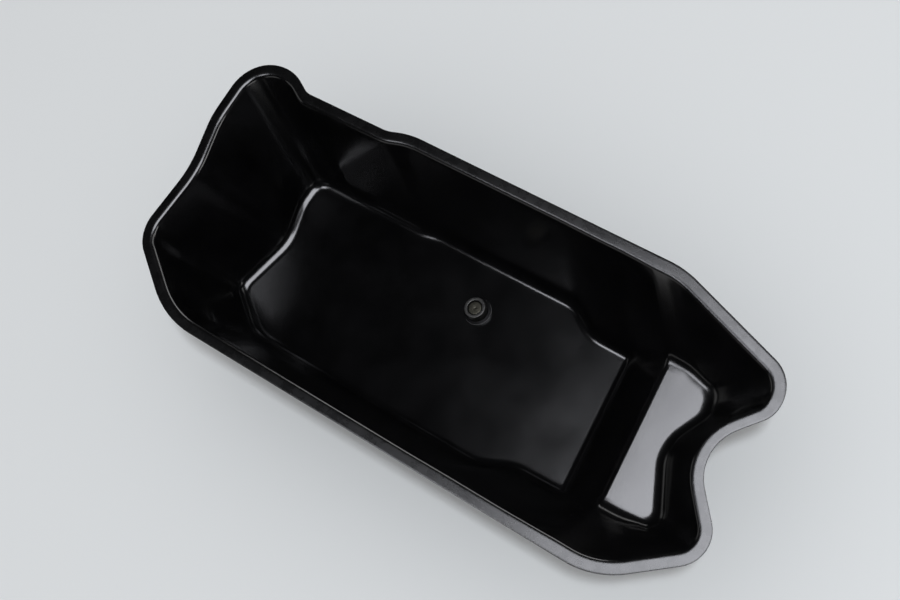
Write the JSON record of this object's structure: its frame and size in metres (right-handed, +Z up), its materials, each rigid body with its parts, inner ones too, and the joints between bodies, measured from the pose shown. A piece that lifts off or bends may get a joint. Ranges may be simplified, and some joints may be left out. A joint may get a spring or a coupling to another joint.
{
  "type": "engine oil pan",
  "caption": "Deep-drawn sheet-steel engine oil pan with a wavy clamped flange, a deep sump, a ramp up to a shallow shelf and a drain bush with a headless plug.",
  "frame": {"origin": "centre of the bounding box at the underside of the floor, on which the pan stands level", "axes": "+X along the pan, from the deep sump's end to the shallow shelf's notched end; +Y across it, towards the side where the drain lies; +Z up, out of the open mouth"},
  "size_m": [0.7, 0.295, 0.15],
  "materials": {
    "black_paint": "semi-gloss black electro-dip paint on pressed steel",
    "zinc_plate": "turned steel, dull zinc plate",
    "plug_steel": "turned steel, slightly olive passivated zinc"
  },
  "bodies": {
    "root": {"pan_shell": "black_paint", "drain_bush": "zinc_plate", "drain_plug": "plug_steel"}
  },
  "joints": []
}
